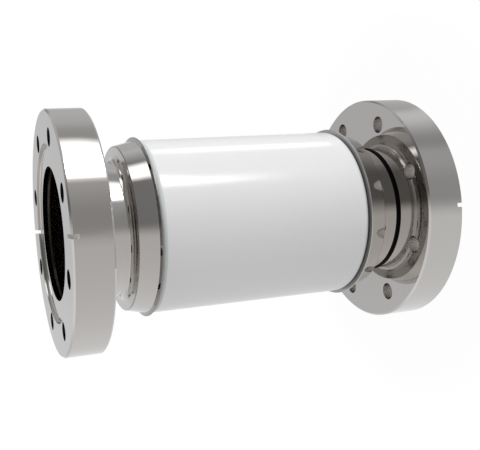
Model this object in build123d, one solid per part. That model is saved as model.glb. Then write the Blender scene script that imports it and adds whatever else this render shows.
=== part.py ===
from build123d import *
import math
import os

# Ceramic vacuum break, millimetres. It stands on its rotatable flange: the axis is Z, the
# sealing face of the rotatable flange lies at Z = 0 and the fixed flange is at the top.
# The leak-check grooves of both flanges point along +Y and -Y.

# Both flanges
flange_diameter = 113.5
fixed_flange_thickness = 17.4
rotatable_ring_thickness = 18.8
rim_edge_chamfer = 0.8
bolt_circle_diameter = 92.2
bolt_hole_diameter = 8.4
bolt_hole_count = 8
leak_groove_width = 2.0
leak_groove_depth = 3.1
leak_groove_overrun = 1.0

# Knife-edge seal, measured down from the sealing face
gasket_recess_diameter = 82.5
knife_edge_diameter = 78.0
knife_tip_depth = 0.9
knife_slope_angle = 20.0
knife_inner_slope = 0.15
seal_land_depth = 1.2
flange_bore_diameter = 61.8

# Neck tubes between the flanges and the collars
tube_diameter = 63.5
tube_wall = 1.65
upper_neck_length = 14.0
lower_neck_length = 12.1
tube_stop_depth = 3.5
socket_clearance = 0.05

# Knife-edge insert that the rotatable ring turns on
insert_plate_thickness = 5.8
insert_edge_break = 0.3
hub_projection = 2.6
running_clearance = 0.08
shoulder_play = 0.1

# Snap ring in the hub's groove, just behind the rotatable ring
snap_ring_height = 1.05
snap_ring_seat_gap = 0.03
snap_groove_depth = 0.75
snap_ring_clearance = 0.05
snap_ring_projection = 0.4
snap_ring_opening = 5.0

# Weld collars, turned from thin nickel-iron; their radii are set off from the ceramic's
collar_height = 9.7
collar_wall = 1.1
collar_face_inset = 2.35
collar_face_round = 0.4
collar_cone_inset = 0.3
collar_cone_height = 8.8
collar_flare_round = 0.2
collar_lip_overhang = 1.45
collar_lip_edge = 0.35
collar_seat_thickness = 1.0
collar_seat_step = 0.95
neck_flare_radius = 3.0
collar_spigot_length = 1.0

# Ceramic insulator and the braze layers at its ends
ceramic_diameter = 82.1
ceramic_wall = 6.0
ceramic_length = 102.4
ceramic_edge_round = 2.5
ceramic_bore_chamfer = 0.5
braze_thickness = 0.15
braze_edge_inset = 0.3

# Radii that several pieces share
flange_radius = flange_diameter / 2
recess_radius = gasket_recess_diameter / 2
tube_radius = tube_diameter / 2
tube_bore_radius = tube_radius - tube_wall
ceramic_radius = ceramic_diameter / 2
ceramic_bore_radius = ceramic_radius - ceramic_wall
seat_bore_radius = ceramic_bore_radius + collar_seat_step

# Heights of the joints, worked out from the bottom up
ring_back = rotatable_ring_thickness
hub_top = ring_back + hub_projection
lower_collar_face = ring_back + lower_neck_length
ceramic_bottom = lower_collar_face + collar_height + braze_thickness
ceramic_top = ceramic_bottom + ceramic_length
upper_collar_face = ceramic_top + braze_thickness + collar_height
flange_back = upper_collar_face + upper_neck_length
top_face = flange_back + fixed_flange_thickness
spigot_reach = neck_flare_radius + collar_spigot_length


def turned(outline):
    """Solid of revolution about Z from (radius, height, corner round) points."""
    corners = [(radius, height) for radius, height, _ in outline]
    rounds = [corner_round for _, _, corner_round in outline]
    profile = FilletPolyline(*corners, radius=rounds, close=True)
    return revolve(Plane.XZ * make_face(profile), Axis.Z)


def rim(bottom, top):
    """Outline points up a flange's outer face, with a chamfer at each edge."""
    inset = flange_radius - rim_edge_chamfer
    return [
        (inset, bottom, 0),
        (flange_radius, bottom + rim_edge_chamfer, 0),
        (flange_radius, top - rim_edge_chamfer, 0),
        (inset, top, 0),
    ]


def bolt_holes(bottom, height):
    """The circle of bolt holes, half a step away from the leak-check grooves."""
    half_step = 180 / bolt_hole_count
    hole = Cylinder(bolt_hole_diameter / 2, height)
    middle = Location((0, 0, bottom + height / 2))
    return middle * PolarLocations(bolt_circle_diameter / 2, bolt_hole_count, 90 + half_step) * hole


def leak_grooves(sealing_face):
    """Two radial slots from the gasket recess to the rim."""
    slot_start = recess_radius - leak_groove_overrun
    slot_length = flange_radius + leak_groove_overrun - slot_start
    slot = Box(leak_groove_width, slot_length, 2 * leak_groove_depth)
    middle = slot_start + slot_length / 2
    return [Pos(0, side * middle, sealing_face) * slot for side in (1, -1)]


def knife_edge(sealing_face, into_metal, outer_radius, bore_radius):
    """Outline points of the seal from the recess's outer corner in to the bore."""
    knife_radius = knife_edge_diameter / 2
    slope_drop = (outer_radius - knife_radius) * math.tan(math.radians(knife_slope_angle))

    def depth(below_face):
        return sealing_face + into_metal * below_face

    return [
        (outer_radius, depth(knife_tip_depth + slope_drop), 0),
        (knife_radius, depth(knife_tip_depth), 0),
        (knife_radius - knife_inner_slope, depth(seal_land_depth), 0),
        (bore_radius, depth(seal_land_depth), 0),
    ]


def make_fixed_flange():
    """One-piece flange: knife edge on top, socket for the neck tube from behind."""
    socket_radius = tube_radius + socket_clearance
    socket_end = top_face - seal_land_depth - tube_stop_depth
    bore_radius = flange_bore_diameter / 2
    outline = [
        *rim(flange_back, top_face),
        (recess_radius, top_face, 0),
        *knife_edge(top_face, -1, recess_radius, bore_radius),
        (bore_radius, socket_end, 0),
        (socket_radius, socket_end, 0),
        (socket_radius, flange_back, 0),
    ]
    return turned(outline) - bolt_holes(flange_back, fixed_flange_thickness) - leak_grooves(top_face)


def make_rotatable_ring():
    """Loose bolt ring, stepped inside so that it pulls the insert up by its shoulder."""
    shoulder = seal_land_depth + insert_plate_thickness + shoulder_play
    hub_bore = tube_radius + running_clearance
    outline = [
        *rim(0, ring_back),
        (hub_bore, ring_back, 0),
        (hub_bore, shoulder, 0),
        (recess_radius, shoulder, 0),
        (recess_radius, 0, 0),
    ]
    return turned(outline) - bolt_holes(0, rotatable_ring_thickness) - leak_grooves(0)


def make_flange_insert():
    """Knife-edge plate and hub in one piece, with the snap-ring groove near the hub's end."""
    plate_radius = recess_radius - running_clearance
    plate_back = seal_land_depth + insert_plate_thickness
    groove_bottom = ring_back + snap_ring_seat_gap
    groove_top = groove_bottom + snap_ring_height
    groove_radius = tube_radius - snap_groove_depth
    outline = [
        *knife_edge(0, 1, plate_radius, tube_bore_radius),
        (tube_bore_radius, hub_top, 0),
        (tube_radius, hub_top, 0),
        (tube_radius, groove_top, 0),
        (groove_radius, groove_top, 0),
        (groove_radius, groove_bottom, 0),
        (tube_radius, groove_bottom, 0),
        (tube_radius, plate_back, 0),
        (plate_radius, plate_back, insert_edge_break),
    ]
    return turned(outline)


def make_snap_ring():
    """Open ring sprung into the hub's groove; it rests on the back of the rotatable ring."""
    inner_radius = tube_radius - snap_groove_depth + snap_ring_clearance
    outer_radius = tube_radius + snap_ring_projection
    bottom = ring_back + snap_ring_seat_gap
    top = bottom + snap_ring_height
    outline = [
        (inner_radius, bottom, 0),
        (outer_radius, bottom, 0),
        (outer_radius, top, 0),
        (inner_radius, top, 0),
    ]
    gap = Pos(0, outer_radius, bottom + snap_ring_height / 2) * Box(
        snap_ring_opening, 4 * (outer_radius - inner_radius), 2 * snap_ring_height
    )
    return turned(outline) - gap


def make_neck_tube(bottom, top):
    """Plain length of tube."""
    outline = [
        (tube_bore_radius, bottom, 0),
        (tube_radius, bottom, 0),
        (tube_radius, top, 0),
        (tube_bore_radius, top, 0),
    ]
    return turned(outline)


def make_collar(face_height, towards_ceramic):
    """Weld collar: flared neck, flat face, slightly conical wall and a lip on the ceramic."""
    face_radius = ceramic_radius - collar_face_inset
    cone_radius = ceramic_radius - collar_cone_inset
    lip_radius = ceramic_radius + collar_lip_overhang
    lip_back = collar_height - collar_lip_edge
    seat_back = collar_height - collar_seat_thickness
    cone_slope = (cone_radius - face_radius) / collar_cone_height
    wall_foot_radius = face_radius - collar_wall + cone_slope * seat_back
    spigot_bore = tube_radius - collar_wall
    flare_room = face_radius - tube_radius - collar_wall - collar_face_round
    flare = min(neck_flare_radius, flare_room)

    def height(from_face):
        return face_height + towards_ceramic * from_face

    outline = [
        (tube_radius, height(-spigot_reach), 0),
        (tube_radius, height(0), flare),
        (face_radius, height(0), collar_face_round),
        (cone_radius, height(collar_cone_height), collar_flare_round),
        (lip_radius, height(lip_back), 0),
        (lip_radius, height(collar_height), 0),
        (seat_bore_radius, height(collar_height), 0),
        (seat_bore_radius, height(seat_back), 0),
        (wall_foot_radius, height(seat_back), 0),
        (face_radius - collar_wall, height(collar_wall), 0),
        (spigot_bore, height(collar_wall), flare + collar_wall),
        (spigot_bore, height(-spigot_reach), 0),
    ]
    return turned(outline)


def make_braze_ring(bottom):
    """Thin layer of braze between a collar's lip and the end of the ceramic."""
    inner_radius = seat_bore_radius + braze_edge_inset
    outer_radius = ceramic_radius - ceramic_edge_round - braze_edge_inset
    outline = [
        (inner_radius, bottom, 0),
        (outer_radius, bottom, 0),
        (outer_radius, bottom + braze_thickness, 0),
        (inner_radius, bottom + braze_thickness, 0),
    ]
    return turned(outline)


def make_ceramic_tube():
    """Glazed insulator with rounded outer ends and lightly chamfered bore ends."""
    chamfered_radius = ceramic_bore_radius + ceramic_bore_chamfer
    outline = [
        (chamfered_radius, ceramic_bottom, 0),
        (ceramic_radius, ceramic_bottom, ceramic_edge_round),
        (ceramic_radius, ceramic_top, ceramic_edge_round),
        (chamfered_radius, ceramic_top, 0),
        (ceramic_bore_radius, ceramic_top - ceramic_bore_chamfer, 0),
        (ceramic_bore_radius, ceramic_bottom + ceramic_bore_chamfer, 0),
    ]
    return turned(outline)


upper_tube_top = top_face - seal_land_depth - tube_stop_depth
pieces = {
    "rotatable_ring": make_rotatable_ring(),
    "flange_insert": make_flange_insert(),
    "snap_ring": make_snap_ring(),
    "lower_neck_tube": make_neck_tube(hub_top, lower_collar_face - spigot_reach),
    "lower_collar": make_collar(lower_collar_face, 1),
    "lower_braze_ring": make_braze_ring(ceramic_bottom - braze_thickness),
    "ceramic_tube": make_ceramic_tube(),
    "upper_braze_ring": make_braze_ring(ceramic_top),
    "upper_collar": make_collar(upper_collar_face, -1),
    "upper_neck_tube": make_neck_tube(upper_collar_face + spigot_reach, upper_tube_top),
    "fixed_flange": make_fixed_flange(),
}

os.makedirs("parts", exist_ok=True)
for name, piece in pieces.items():
    export_step(piece, f"parts/{name}.step")
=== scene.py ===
import math
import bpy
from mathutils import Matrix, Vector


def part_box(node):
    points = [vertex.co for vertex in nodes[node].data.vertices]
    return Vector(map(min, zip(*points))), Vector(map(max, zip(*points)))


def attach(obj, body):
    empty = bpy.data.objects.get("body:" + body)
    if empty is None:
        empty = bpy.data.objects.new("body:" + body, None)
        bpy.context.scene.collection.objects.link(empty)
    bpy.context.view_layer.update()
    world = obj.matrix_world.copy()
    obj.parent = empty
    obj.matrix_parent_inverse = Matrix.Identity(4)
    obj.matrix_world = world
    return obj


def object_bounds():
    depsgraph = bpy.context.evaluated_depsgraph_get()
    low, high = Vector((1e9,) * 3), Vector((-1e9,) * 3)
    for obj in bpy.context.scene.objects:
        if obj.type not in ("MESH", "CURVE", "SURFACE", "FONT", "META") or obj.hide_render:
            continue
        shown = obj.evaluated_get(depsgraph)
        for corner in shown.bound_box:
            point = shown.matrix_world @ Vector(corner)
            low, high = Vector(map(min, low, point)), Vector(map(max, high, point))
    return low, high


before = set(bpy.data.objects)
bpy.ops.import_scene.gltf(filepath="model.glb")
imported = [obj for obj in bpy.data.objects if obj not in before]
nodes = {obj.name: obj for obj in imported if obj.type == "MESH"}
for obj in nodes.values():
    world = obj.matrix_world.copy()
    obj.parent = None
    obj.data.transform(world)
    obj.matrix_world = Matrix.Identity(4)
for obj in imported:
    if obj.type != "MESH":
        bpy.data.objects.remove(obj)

from types import SimpleNamespace

import bpy
import numpy as np
from mathutils import Euler, Vector

# Looks of a ceramic vacuum break: turned steel flanges, thin weld collars and a glazed insulator.
# It stands on the flange with the loose ring. The picture shows it lying, so the camera is rolled.
# Lengths are in metres. An angle called turn is in degrees round the part's axis: 0 faces the camera
# and 90 is the picture's top, +X. Where a pair of numbers sets a place, a smooth step runs from the
# first to the second. A third number makes it a band, and is the width of the band's soft edges.

mm = 0.001
cadLow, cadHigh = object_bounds()
partHeight = cadHigh.z
print("frame loaded:", len(nodes), "solids")


class Wire:
    # One output of a node. Sums written with it add Math nodes to the same node tree.
    def __init__(self, tree, socket=None):
        self.tree = tree
        self.socket = socket

    def node(self, kind, settings=None, inputs=None, output=0):
        made = self.tree.nodes.new(kind)
        for name, value in (settings or {}).items():
            setattr(made, name, value)
        for name, value in (inputs or {}).items():
            if isinstance(value, Wire):
                self.tree.links.new(value.socket, made.inputs[name])
            else:
                made.inputs[name].default_value = value
        return Wire(self.tree, made.outputs[output] if len(made.outputs) else None)

    # this wire comes first in maths, and second in mathsAfter
    def maths(self, operation, *others):
        return self.node("ShaderNodeMath", {"operation": operation}, dict(enumerate((self, *others))))

    def mathsAfter(self, operation, first):
        return self.node("ShaderNodeMath", {"operation": operation}, {0: first, 1: self})

    def __add__(self, other):
        return self.maths("ADD", other)

    def __radd__(self, other):
        return self.mathsAfter("ADD", other)

    def __sub__(self, other):
        return self.maths("SUBTRACT", other)

    def __rsub__(self, other):
        return self.mathsAfter("SUBTRACT", other)

    def __mul__(self, other):
        return self.maths("MULTIPLY", other)

    def __rmul__(self, other):
        return self.mathsAfter("MULTIPLY", other)

    def __truediv__(self, other):
        return self.maths("DIVIDE", other)

    def __rtruediv__(self, other):
        return self.mathsAfter("DIVIDE", other)

    def __neg__(self):
        return self.maths("MULTIPLY", -1)

    def __abs__(self):
        return self.maths("ABSOLUTE")

    # smooth step: 0 below low, 1 above high
    def rise(self, low, high):
        values = {"Value": self, "From Min": low, "From Max": high, "To Min": 0, "To Max": 1}
        return self.node("ShaderNodeMapRange", {"interpolation_type": "SMOOTHSTEP"}, values)

    # smooth step round an edge, as wide as soft
    def past(self, edge, soft):
        return self.rise(edge - soft / 2, edge + soft / 2)

    # 1 between low and high, with edges as wide as soft
    def band(self, low, high, soft):
        return self.past(low, soft) * (1 - self.past(high, soft))

    # sum of smooth steps, each given as height, low and high
    def climb(self, steps):
        return sum(height * self.rise(low, high) for height, low, high in steps)

    # colour mix driven by this wire
    def tint(self, colourA, colourB):
        inputs = {0: self, 6: colourA, 7: colourB}
        return self.node("ShaderNodeMix", {"data_type": "RGBA"}, inputs, output=2)

    # this colour times a number
    def scaled(self, factor):
        return self.node("ShaderNodeVectorMath", {"operation": "SCALE"}, {0: self, "Scale": factor})

    # noise read at this place; the scale is per metre
    def noise(self, scale, detail, roughness):
        values = {"Vector": self, "Scale": scale, "Detail": detail, "Roughness": roughness}
        return self.node("ShaderNodeTexNoise", None, values)

    # surface normal bumped by this height
    def bump(self, distance):
        return self.node("ShaderNodeBump", None, {"Height": self, "Distance": distance, "Strength": 1.0})

    # the three numbers of this vector
    def split(self):
        return [self.node("ShaderNodeSeparateXYZ", None, {0: self}, output=axis) for axis in range(3)]


# length of (x, y)
def reach(x, y):
    return (x * x + y * y).maths("SQRT")


# first where share is 0, second where it is 1
def fade(first, second, share):
    return first + (second - first) * share


def grey(level, warmth=0.0):
    return (level * (1 + warmth / 2), level, level * (1 - warmth / 2), 1)


# a darker share of a colour: one number, or three for red, green and blue
def paint(colour, share=1):
    return (*np.multiply(colour, share).tolist(), 1)


# 1 for a ray from the camera, 1 for a mirrored ray, and 1 for either or for one through glass
def askingRays(wire):
    kinds = ("Is Camera Ray", "Is Glossy Ray", "Is Transmission Ray")
    isCamera, isGlossy, isTransmission = [wire.node("ShaderNodeLightPath", output=kind) for kind in kinds]
    return isCamera, isGlossy, (isCamera + isGlossy + isTransmission).maths("MINIMUM", 1)


# camera

cameraView = {
    "place": (11.48, -350.89, 233.23),  # mm
    "turnXYZ": (-13.376, 69.390, -101.345),  # degrees
    "lens": 56.77,
    "shiftX": 0.0555,
    "shiftY": 0.0184,
    "nearest": 10 * mm,
}


def makeCamera(view):
    data = bpy.data.cameras.new("pictureCamera")
    data.lens = view["lens"]
    data.shift_x = view["shiftX"]
    data.shift_y = view["shiftY"]
    data.clip_start = view["nearest"]
    camera = bpy.data.objects.new("pictureCamera", data)
    camera.location = Vector(view["place"]) * mm
    camera.rotation_euler = Euler([math.radians(angle) for angle in view["turnXYZ"]])
    bpy.context.collection.objects.link(camera)
    bpy.context.scene.camera = camera
    bpy.context.scene.view_settings.view_transform = "Standard"


makeCamera(cameraView)
print("camera placed")


# Room: a white backdrop for the camera, and by direction the studio that the metal mirrors.
# dx looks up in the picture, dy away from the camera, and dz along the axis past the fixed flange.

table = {  # pale table below
    "level": 0.81,
    "backRise": 0.15,  # brighter to the back, up to the limit
    "limit": 0.87,
    "pastShade": 0.17,  # dimmer at the back past the fixed flange
    "pastAlong": (-0.05, 0.12),
    "pastBack": (0.3, 0.9),
    "brinkShade": 0.10,  # far edge, just under the horizon
    "brinkUp": (-0.18, -0.04),
    "brinkBack": (0.55, 0.8),
    "endRise": 0.25,  # brighter in front, beyond the fixed flange
    "endAlong": (0.15, 0.5),
    "endBack": (0.2, 0.6),
}


def tableLight(values, dx, dy, dz):
    light = (values["level"] + values["backRise"] * dy).maths("MINIMUM", values["limit"])
    light = light * (1 - values["pastShade"] * (dz.rise(*values["pastAlong"]) * dy.rise(*values["pastBack"])))
    light = light * (1 - values["brinkShade"] * dx.rise(*values["brinkUp"]) * dy.rise(*values["brinkBack"]))
    end = values["endRise"] * dz.rise(*values["endAlong"]) * (1 - dy.rise(*values["endBack"]))
    return light * (1 + end)


roomAbove = {
    "front": 0.37,  # dim room behind the camera
    "ceiling": 0.56,
    "ceilingTurn": (15, 55),
    "ceilingStop": (-0.1, 0.1),  # it fades out towards the fixed flange
    "steps": [(-0.10, 60, 95), (0.17, 100, 122), (-0.20, 135, 172)],  # shades over the top and down the back
    "glow": 0.13,  # lighter patch over the top
    "glowTurn": (98, 128, 14),
    "glowAlong": (-0.16, -0.02),
    "pastShade": 0.28,  # dimmer past the fixed flange
    "pastAlong": (0, 0.15),
    "endFront": 0.19,  # what lies beyond that flange, front and back
    "endBack": 0.62,
    "endTurn": (66, 116),
    "endSteps": [(0.25, 130, 165)],
    "endAlong": (0.1, 0.4),
}


def roomLight(values, turn, dz):
    lift = (values["ceiling"] - values["front"]) * turn.rise(*values["ceilingTurn"])
    light = values["front"] + lift * (1 - dz.rise(*values["ceilingStop"])) + turn.climb(values["steps"])
    light = light + values["glow"] * turn.band(*values["glowTurn"]) * dz.rise(*values["glowAlong"])
    light = light * (1 - values["pastShade"] * dz.rise(*values["pastAlong"]))
    end = fade(values["endFront"], values["endBack"], turn.rise(*values["endTurn"]))
    end = end + turn.climb(values["endSteps"])
    return fade(light, end, dz.rise(*values["endAlong"]))


horizon = {
    "backClimb": 0.09,  # it lies higher at the back
    "wall": 0.22,  # foot of the back wall
    "wallBack": (0.55, 0.8),
    "end": 0.05,
    "endAlong": (0.2, 0.5),
    "soft": (-0.25, 0.125),
}


def aboveHorizon(values, dx, dy, dz):
    height = values["backClimb"] * (1 + dy) + values["wall"] * dy.rise(*values["wallBack"])
    height = height + values["end"] * dz.rise(*values["endAlong"])
    return (dx - height).rise(*values["soft"])


softbox = {  # over the camera's left shoulder; along runs away from the fixed flange
    "level": 2.2,
    "core": 14.0,
    "low": 50,  # turn of its lower border, which climbs towards the fixed flange
    "lowClimb": 65,
    "lowAlong": 0.16,
    "high": 91,
    "highDrop": 28,
    "highAlong": (0.17, 0.34),
    "soft": (-6, 6),
    "end": (0.30, 0.46),
    "gap": (-0.02, 0.14, 0.03),  # keeps the edges of both rims dark when they are seen from behind
    "coreSoft": (-2, 7),
    "coreStop": (64, 75),
    "coreAlong": (0.0, 0.2),
}


def addSoftbox(light, values, turn, along):
    low = values["low"] + values["lowClimb"] * (values["lowAlong"] - along).maths("MAXIMUM", 0)
    high = values["high"] - values["highDrop"] * along.rise(*values["highAlong"])
    inside = (turn - low).rise(*values["soft"]) * (high - turn).rise(*values["soft"])
    inside = inside * (1 - along.rise(*values["end"])) * (1 - along.band(*values["gap"]))
    core = inside * (turn - low).rise(*values["coreSoft"]) * (1 - turn.rise(*values["coreStop"]))
    core = core * along.rise(*values["coreAlong"])
    return fade(light, values["level"], inside) + (values["core"] - values["level"]) * core


stripLight = {  # behind the top
    "level": 3.4,
    "turn": (108, 120, 5),
    "along": (0.27, 0.50, 0.12),
}


def addStrip(light, values, turn, along):
    return fade(light, values["level"], turn.band(*values["turn"]) * along.band(*values["along"]))


room = {
    "coolness": 0.035,  # bluer to the back
    "ambient": 0.565,  # even light that falls on the part
    "ambientFront": 0.05,  # a little more of it from the front
}


def makeWorld(values):
    world = bpy.data.worlds.new("studio")
    world.use_nodes = True
    world.node_tree.nodes.clear()
    dx, dy, dz = Wire(world.node_tree).node("ShaderNodeTexCoord", output="Generated").split()
    turn = dx.maths("ARCTAN2", -dy) * math.degrees(1)
    along = -dz
    above = aboveHorizon(horizon, dx, dy, dz)
    light = fade(tableLight(table, dx, dy, dz), roomLight(roomAbove, turn, dz), above)
    light = addSoftbox(light, softbox, turn, along)
    light = addStrip(light, stripLight, turn, along)
    studio = (0.5 + 0.5 * dy).tint(grey(1), grey(1, -values["coolness"])).scaled(light)
    isGlossy, seen = askingRays(dx)[1:]
    ambient = values["ambient"] - values["ambientFront"] * dy
    colour = seen.tint(ambient, isGlossy.tint(grey(1), studio))
    shader = dx.node("ShaderNodeBackground", None, {"Color": colour, "Strength": 1})
    dx.node("ShaderNodeOutputWorld", None, {"Surface": shader})
    world.cycles.sampling_method = "NONE"
    bpy.context.scene.world = world


makeWorld(room)

keyLamp = {"from": (1.0, -0.325, 0.35), "size": 0.8, "power": 6.1}


def makeLamp(name, values):
    data = bpy.data.lights.new(name, "AREA")
    data.shape = "DISK"
    data.size = values["size"]
    data.energy = values["power"]
    lamp = bpy.data.objects.new(name, data)
    lamp.location = values["from"]
    target = Vector((0, 0, partHeight / 2))
    lamp.rotation_euler = (target - lamp.location).to_track_quat("-Z", "Y").to_euler()
    lamp.visible_glossy = False
    lamp.visible_camera = False
    bpy.context.collection.objects.link(lamp)


makeLamp("key", keyLamp)


# finishes

def newMaterial(name):
    material = bpy.data.materials.new(name)
    material.use_nodes = True
    material.node_tree.nodes.clear()
    return material, Wire(material.node_tree).node("ShaderNodeTexCoord", output="Object")


def finishMaterial(material, shader):
    shader.node("ShaderNodeOutputMaterial", None, {"Surface": shader})
    return material


def principled(place, inputs):
    return place.node("ShaderNodeBsdfPrincipled", None, inputs)


# The pictured part lies on its side, so the rim of its ring mirrors the room. Here that rim mirrors
# the floor, so mirrored rays see on each spot of the floor what the rim beside it would mirror.
mirroredRoom = {
    "rimRadius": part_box("rotatable_ring")[1].x,
    "doubling": 2.1,  # what a mirror shows turns about twice as far as the mirror,
    "spread": 1.1,  # and less far for spots further out
    "table": 0.87,
    "tableDip": 0.07,  # darker towards the camera
    "front": 0.41,
    "steps": [(0.10, 20, 50), (-0.12, 56, 70), (0.42, 72, 112), (-0.26, 116, 138)],
    "soft": (-13, 10),
}


def roomOnFloor(values, x, y, radius):
    turn = x.maths("ARCTAN2", abs(y)) * math.degrees(1)
    beyond = (1 - values["rimRadius"] / radius).maths("MAXIMUM", 0)
    facing = values["doubling"] * turn / (1 + values["spread"] * beyond)
    below = values["table"] - values["tableDip"] * (facing * math.radians(1)).maths("COSINE")
    above = values["front"] + facing.climb(values["steps"])
    return fade(below, above, facing.rise(*values["soft"]))


floorSheet = {
    "radius": 115 * mm,
    "spokes": 96,
    "colour": 0.8,
    "coolness": 0.03,
    "white": 0.97,  # share of plain light in what the camera and the metal see, all of it at the rim
    "whiteRim": (85 * mm, 112 * mm),
    "footprint": 36 * mm,  # under the bore the floor keeps its real shade
    "footprintSoft": 2 * mm,
    "holesReach": 51 * mm,  # under the ring's bolt holes
    "holesSoft": 1 * mm,
    "holesMirror": 0.85,  # painted light: the floor's glow under them, which their walls mirror
    "holesShade": 0.3,  # painted shade of the floor that the camera sees down them
}


def paleFloor(name, values):
    material, place = newMaterial(name)
    x, y, _ = place.split()
    radius = reach(x, y)
    isCamera, isGlossy, seen = askingRays(place)
    # under the ring's bolt holes: painted light for mirrored rays, painted shade for the camera
    under = 1 - radius.past(values["holesReach"], values["holesSoft"])
    mirrored = fade(roomOnFloor(mirroredRoom, x, y, radius), values["holesMirror"], under)
    level = 1 - isGlossy * (1 - mirrored) - isCamera * under * (1 - values["holesShade"])
    glow = isGlossy.tint(grey(1), grey(1, -values["coolness"])).scaled(level)
    share = seen * radius.past(values["footprint"], values["footprintSoft"])
    share = share * fade(values["white"], 1, radius.rise(*values["whiteRim"]))
    shadowed = place.node("ShaderNodeBsdfDiffuse", None, {"Color": grey(values["colour"])})
    plain = place.node("ShaderNodeEmission", None, {"Color": glow, "Strength": 1})
    both = place.node("ShaderNodeMixShader", None, {0: share, 1: shadowed, 2: plain})
    return finishMaterial(material, both)


def makeFloor(values):
    # A flat disc: x = r cos a, y = r sin a, with the angle a once round.
    angle = np.linspace(0, 2 * np.pi, values["spokes"], endpoint=False)
    rim = np.stack([np.cos(angle), np.sin(angle), 0 * angle], axis=1) * values["radius"]
    mesh = bpy.data.meshes.new("floor")
    mesh.from_pydata(rim.tolist(), [], [list(range(values["spokes"]))])
    mesh.materials.append(paleFloor("paleFloor", values))
    floor = bpy.data.objects.new("floor", mesh)
    bpy.context.collection.objects.link(floor)


makeFloor(floorSheet)
print("room, lamp and floor made")


turning = {  # what all turned pieces share; a noise is its scale, detail and roughness
    "markNoise": (2.0, 0.6),
    "markDepth": 0.0005 * mm,
    "roughnessSpread": 0.02,
    "clouds": (45.0, 4.0, 0.6),  # wiping stains
    "cloudShare": 0.35,
    "markShare": 0.3,
    "darkest": (0.93, 0.925, 0.92),
}


def turnedMetal(name, values, addDetails):
    # Turning marks are a noise on (radius, height): circles on a face, rings on a rim.
    material, place = newMaterial(name)
    x, y, z = place.split()
    radius = reach(x, y)
    section = place.node("ShaderNodeCombineXYZ", None, {0: radius, 1: z, 2: 0.0})
    marks = section.noise(1 / values["markPitch"], *turning["markNoise"])
    cloud = place.noise(*turning["clouds"])
    shade = turning["cloudShare"] * cloud + turning["markShare"] * marks
    spread = turning["roughnessSpread"]
    skin = SimpleNamespace(x=x, y=y, z=z, radius=radius, section=section)
    skin.colour = shade.tint(paint(values["colour"]), paint(values["colour"], turning["darkest"]))
    skin.roughness = values["roughness"] + spread * (cloud - 0.5) * 2 + spread * (marks - 0.5)
    skin.metallic = 1.0
    skin.height = marks * turning["markDepth"]
    addDetails(skin, values)
    return finishMaterial(material, principled(place, {
        "Base Color": skin.colour, "Metallic": skin.metallic, "Roughness": skin.roughness,
        "Normal": skin.height.bump(1.0)}))


flangeSteel = {
    "colour": (0.588, 0.563, 0.540),
    "roughness": 0.045,
    "markPitch": 0.22 * mm,
    "grooveSide": (1.03 * mm, 1.05 * mm),  # leak-check grooves along +Y and -Y
    "grooveReach": (40.2 * mm, cadHigh.x - 0.05 * mm, 0.05 * mm),
    "grooveFloor": (3.15 * mm, partHeight - 3.15 * mm, 0.05 * mm),
    "milled": (0.6, 0.0, 0.82),  # roughness, metal and shade in the grooves
    "holeCount": 8,
    "holeCircle": 46.1 * mm,
    "holeRadius": 4.24 * mm,
    "holeSoft": 0.02 * mm,
    "drilled": (0.25, 1.0, 0.68),  # the same in the bolt holes
    "warmth": 0.06,
    "paintedHoleShade": 0.12,  # painted shade that darkens the fixed flange's bolt holes
    "paintedHoleShadeFrom": (partHeight / 2, partHeight * 0.8),
}


def boltHoles(skin, values):
    # folded to one hole: the spoke's angle is taken within its share of the circle
    step = 360 / values["holeCount"]
    spoke = skin.x.maths("ARCTAN2", skin.y) * math.degrees(1)
    off = (spoke.maths("FLOORED_MODULO", step) - step / 2) * math.radians(1)
    outwards = skin.radius * off.maths("COSINE") - values["holeCircle"]
    across = skin.radius * off.maths("SINE")
    return 1 - reach(outwards, across).past(values["holeRadius"], values["holeSoft"])


def addCuts(skin, values):
    groove = (1 - abs(skin.x).rise(*values["grooveSide"])) * skin.radius.band(*values["grooveReach"])
    groove = groove * (1 - skin.z.band(*values["grooveFloor"]))
    hole = boltHoles(skin, values)
    for mask, (rough, metal, shine) in ((groove, values["milled"]), (hole, values["drilled"])):
        skin.roughness = fade(skin.roughness, rough, mask)
        skin.metallic = fade(skin.metallic, metal, mask)
        skin.colour = mask.tint(skin.colour, grey(shine, values["warmth"]))
    # painted shade: the fixed flange's bolt holes are darkened to near black
    skin.colour = (hole * skin.z.rise(*values["paintedHoleShadeFrom"])).tint(skin.colour, grey(values["paintedHoleShade"]))


collarLow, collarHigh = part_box("upper_collar")
collarRadius = collarHigh.x
collarSpigot = 4 * mm  # neck that stands out past the flat face
collarDepth = collarHigh.z - collarLow.z - collarSpigot

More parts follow.
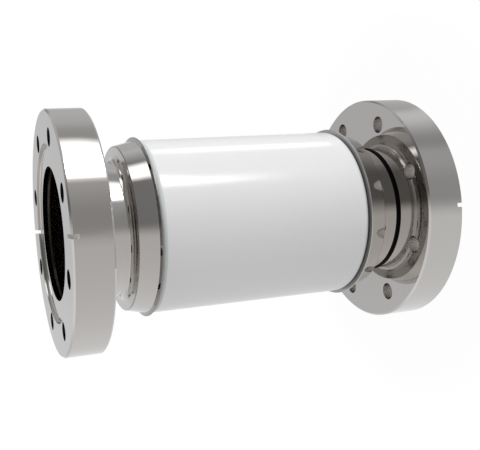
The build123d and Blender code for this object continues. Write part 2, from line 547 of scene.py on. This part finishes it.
collarAlloy = {
    "colour": (0.572, 0.548, 0.527),
    "roughness": 0.045,
    "markPitch": 0.20 * mm,
    # flat face with coarse marks; depths are measured from it towards the lip
    "facePitch": 0.3 * mm,
    "faceNoise": (1.0, 0.5),
    "faceHeight": 0.06 * mm,
    "faceRoughness": 0.08,
    "faceColour": (0.66, 0.645, 0.63),
    "faceDepth": (0.05 * mm, 0.35 * mm),
    "faceRadius": (32 * mm, 33.5 * mm),
    # painted shade: a thin dark line along the edge where the face meets the wall
    "cornerDepth": (0.02 * mm, 0.38 * mm, 0.1 * mm),
    "cornerRadius": (38.1 * mm, 38.3 * mm),
    "cornerPaintedShade": 0.6,
    # painted shade in the hollow behind the upper collar's lip
    "seamDepth": (collarDepth - 0.9 * mm, collarDepth - 0.4 * mm, 0.1 * mm),
    "seamPaintedShade": 0.68,
    # thin rim of the upper collar's lip: rougher, with painted shade that dims its highlight
    "lipDepth": (collarDepth - 0.42 * mm, collarDepth - 0.38 * mm),
    "lipRadius": (collarRadius - 0.3 * mm, collarRadius - 0.2 * mm),
    "lipRoughness": 0.45,
    "lipPaintedShade": 0.5,
    # side of the lip that carries the ceramic, in painted shade where it meets the ceramic's end
    "ledgeDepth": (collarDepth - 0.04 * mm, collarDepth - 0.01 * mm),
    "ledgeRadius": (collarRadius - 0.4 * mm, collarRadius - 0.3 * mm),
    "ledgeShadeColour": (0.40, 0.40, 0.40),
}


def addFacing(skin, values):
    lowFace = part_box("lower_collar")[0].z + collarSpigot
    highFace = collarHigh.z - collarSpigot
    depth = (skin.z - lowFace).maths("MINIMUM", highFace - skin.z)
    onUpper = skin.z.rise(partHeight / 2, highFace)
    coarse = skin.section.noise(1 / values["facePitch"], *values["faceNoise"])
    face = (1 - depth.rise(*values["faceDepth"])) * skin.radius.rise(*values["faceRadius"])
    skin.height = skin.height + coarse * face * values["faceHeight"]
    skin.roughness = skin.roughness + values["faceRoughness"] * face
    skin.colour = face.tint(skin.colour, paint(values["faceColour"]))
    # painted shade along the edge where the face meets the wall
    corner = depth.band(*values["cornerDepth"]) * skin.radius.rise(*values["cornerRadius"])
    skin.colour = corner.tint(skin.colour, paint(values["colour"], values["cornerPaintedShade"]))
    # painted shade behind the upper collar's lip
    seam = depth.band(*values["seamDepth"]) * onUpper
    skin.colour = seam.tint(skin.colour, paint(values["colour"], values["seamPaintedShade"]))
    # painted shade on the rim of the upper collar's lip
    lip = depth.rise(*values["lipDepth"]) * skin.radius.rise(*values["lipRadius"]) * onUpper
    skin.roughness = fade(skin.roughness, values["lipRoughness"], lip)
    skin.colour = lip.tint(skin.colour, paint(values["colour"], values["lipPaintedShade"]))
    # painted shade on the ledge beside the ceramic
    ledge = depth.rise(*values["ledgeDepth"]) * (1 - skin.radius.rise(*values["ledgeRadius"]))
    skin.colour = ledge.tint(skin.colour, paint(values["ledgeShadeColour"]))


# welds lie at the ends of both neck tubes
hubWeld, lowerCollarWeld = [end.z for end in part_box("lower_neck_tube")]
upperCollarWeld, flangeWeld = [end.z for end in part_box("upper_neck_tube")]
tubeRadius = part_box("upper_neck_tube")[1].x

tubeSteel = {
    "colour": (0.578, 0.558, 0.540),
    "roughness": 0.055,
    "markPitch": 0.3 * mm,
    "boreEdge": (tubeRadius - 0.85 * mm, tubeRadius - 0.75 * mm),
    # painted shade inside the bore
    "boreShadeColour": (0.42, 0.39, 0.36),
    "straw": (0.34, 0.27, 0.19),  # heat tint beside the welds
    "strawReach": (0.6 * mm, 4.5 * mm),
    "welds": [flangeWeld, upperCollarWeld, lowerCollarWeld, hubWeld],
}


def addBoreShadeAndHeatTint(skin, values):
    # painted shade darkens the inside of the bore; beside the welds it carries the heat tint
    near = sum(1 - abs(skin.z - weld).rise(*values["strawReach"]) for weld in values["welds"])
    inBore = 1 - skin.radius.rise(*values["boreEdge"])
    skin.colour = inBore.tint(skin.colour, near.tint(paint(values["boreShadeColour"]), paint(values["straw"])))


glaze = {
    "colour": (0.865, 0.866, 0.864),
    "mottle": (0.84, 0.842, 0.842),
    "mottleSteps": (0.3, 0.75),
    "fine": (900.0, 3.0, 0.6),  # pinholes
    "broad": (28.0, 3.0, 0.5),  # waves
    "fineShare": 0.6,
    "fineHeight": 0.15,
    "roughness": 0.30,
    "refraction": 1.5,
    "shine": 0.15,
    "coat": 0.6,
    "coatRoughness": 0.06,
    "waviness": 0.004 * mm,
    "endBand": 2.4 * mm,  # painted shade over the upper rounded end: darker, cooler, with less coat
    "endSoft": 0.3 * mm,
    "endShadeColour": (0.70, 0.725, 0.725),
    "endCoat": 0.1,
}


def glazedCeramic(name, values):
    material, place = newMaterial(name)
    fine = place.noise(*values["fine"])
    broad = place.noise(*values["broad"])
    mottle = fade(broad, fine, values["fineShare"]).rise(*values["mottleSteps"])
    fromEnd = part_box("ceramic_tube")[1].z - place.split()[2]
    # painted shade on the upper rounded end
    band = 1 - fromEnd.past(values["endBand"], values["endSoft"])
    colour = mottle.tint(paint(values["colour"]), paint(values["mottle"]))
    return finishMaterial(material, principled(place, {
        "Base Color": band.tint(colour, paint(values["endShadeColour"])),
        "Metallic": 0.0,
        "Roughness": values["roughness"],
        "IOR": values["refraction"],
        "Specular IOR Level": values["shine"],
        "Coat Weight": fade(values["coat"], values["endCoat"], band),
        "Coat Roughness": values["coatRoughness"],
        "Normal": (broad + values["fineHeight"] * fine).bump(values["waviness"])}))


brazeSilver = {"colour": (0.62, 0.56, 0.47), "metal": 1.0, "roughness": 0.34, "shine": 0.5}
springBlack = {"colour": (0.0015, 0.0015, 0.0016), "metal": 0.0, "roughness": 0.6, "shine": 0.08}
smallPartGrain = {"noise": (700.0, 3.0, 0.6), "darkest": 0.8, "roughnessSpread": 0.12, "height": 0.003 * mm}


def grainyMetal(name, values, grainValues):
    material, place = newMaterial(name)
    grain = place.noise(*grainValues["noise"])
    return finishMaterial(material, principled(place, {
        "Base Color": grain.tint(paint(values["colour"]), paint(values["colour"], grainValues["darkest"])),
        "Metallic": values["metal"],
        "Roughness": values["roughness"] + grainValues["roughnessSpread"] * (grain - 0.5),
        "Specular IOR Level": values["shine"],
        "Normal": grain.bump(grainValues["height"])}))


# weld beads inside the bore, where the tubes meet the flanges and the collars

weldMetal = {
    # near-black colour: painted shade of the deep bore, over the weld's own film spots
    "colour": (0.055, 0.047, 0.04),
    "tint": (0.03, 0.025, 0.02),
    "tintSteps": (0.3, 0.7),
    "grazingShade": (0.35, 0.31, 0.28),  # painted shade: dimmed reflections at grazing, so it stays dark seen along the wall
    "roughness": 0.36,
    "roughnessSpread": 0.2,
    "films": (160.0, 4.0, 0.6),
    "height": 0.02 * mm,
}


def weldFinish(name, values):
    material, place = newMaterial(name)
    film = place.noise(*values["films"])
    return finishMaterial(material, principled(place, {
        "Base Color": film.rise(*values["tintSteps"]).tint(paint(values["colour"]), paint(values["tint"])),
        "Metallic": 1.0,
        "Roughness": values["roughness"] + values["roughnessSpread"] * (film - 0.5),
        "Specular Tint": paint(values["grazingShade"]),
        "Normal": film.bump(values["height"])}))


beads = {
    "steps": 720,
    "sides": 14,
    "ripples": 180,
    "rippleDepth": 0.06,
    "spots": {  # radius, height, half width and half height, and the slot of the record
        "flangeBead": (30.78 * mm, flangeWeld + 0.05 * mm, 0.7 * mm, 1.1 * mm, "flange_steel"),
        "upperCollarBead": (30.45 * mm, upperCollarWeld, 0.55 * mm, 1.2 * mm, "flange_steel"),
        "lowerCollarBead": (30.45 * mm, lowerCollarWeld, 0.55 * mm, 1.2 * mm, "insert_steel"),
        "hubBead": (30.3 * mm, hubWeld, 0.42 * mm, 1.2 * mm, "insert_steel"),
    },
}


def makeBead(name, values, material):
    # An ellipse carried round the axis: a goes round the axis and b round the ellipse.
    # Swelling s = 1 + depth * |sin(ripples * a / 2)|; radius = R + w s cos b, height = Z + h s sin b.
    ringRadius, height, halfWidth, halfHeight, slot = values["spots"][name]
    steps, sides = values["steps"], values["sides"]
    a = np.linspace(0, 2 * np.pi, steps, endpoint=False)[:, None]
    b = np.linspace(0, 2 * np.pi, sides, endpoint=False)[None, :]
    swell = 1 + values["rippleDepth"] * np.abs(np.sin(values["ripples"] * a / 2))
    radius = ringRadius + halfWidth * swell * np.cos(b)
    level = height + halfHeight * swell * np.sin(b)
    points = np.stack([radius * np.cos(a), radius * np.sin(a), level], axis=2).reshape(-1, 3)
    index = np.arange(steps * sides).reshape(steps, sides)
    after = np.roll(index, -1, axis=0)
    faces = np.stack([index, after, np.roll(after, -1, axis=1), np.roll(index, -1, axis=1)], axis=2)
    mesh = bpy.data.meshes.new(name)
    mesh.from_pydata(points.tolist(), [], faces.reshape(-1, 4).tolist())
    mesh.shade_smooth()
    mesh.materials.append(material)
    bead = bpy.data.objects.new(name, mesh)
    bpy.context.collection.objects.link(bead)
    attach(bead, "isolator")


beadMaterial = weldFinish("weldMetal", weldMetal)
for beadName in beads["spots"]:
    makeBead(beadName, beads, beadMaterial)
print("weld beads made")


flangeFinish = turnedMetal("flangeSteel", flangeSteel, addCuts)
tubeFinish = turnedMetal("tubeSteel", tubeSteel, addBoreShadeAndHeatTint)
collarFinish = turnedMetal("collarAlloy", collarAlloy, addFacing)
ceramicFinish = glazedCeramic("glazedAlumina", glaze)
brazeFinish = grainyMetal("braze", brazeSilver, smallPartGrain)
springFinish = grainyMetal("blackSpringSteel", springBlack, smallPartGrain)
finishes = {
    "fixed_flange": flangeFinish,
    "upper_neck_tube": tubeFinish,
    "upper_collar": collarFinish,
    "upper_braze_ring": brazeFinish,
    "ceramic_tube": ceramicFinish,
    "lower_braze_ring": brazeFinish,
    "lower_collar": collarFinish,
    "lower_neck_tube": tubeFinish,
    "snap_ring": springFinish,
    "flange_insert": flangeFinish,
    "rotatable_ring": flangeFinish,
}
for nodeName, node in nodes.items():
    node.data.materials.clear()
    node.data.materials.append(finishes[nodeName])
print("finishes given")
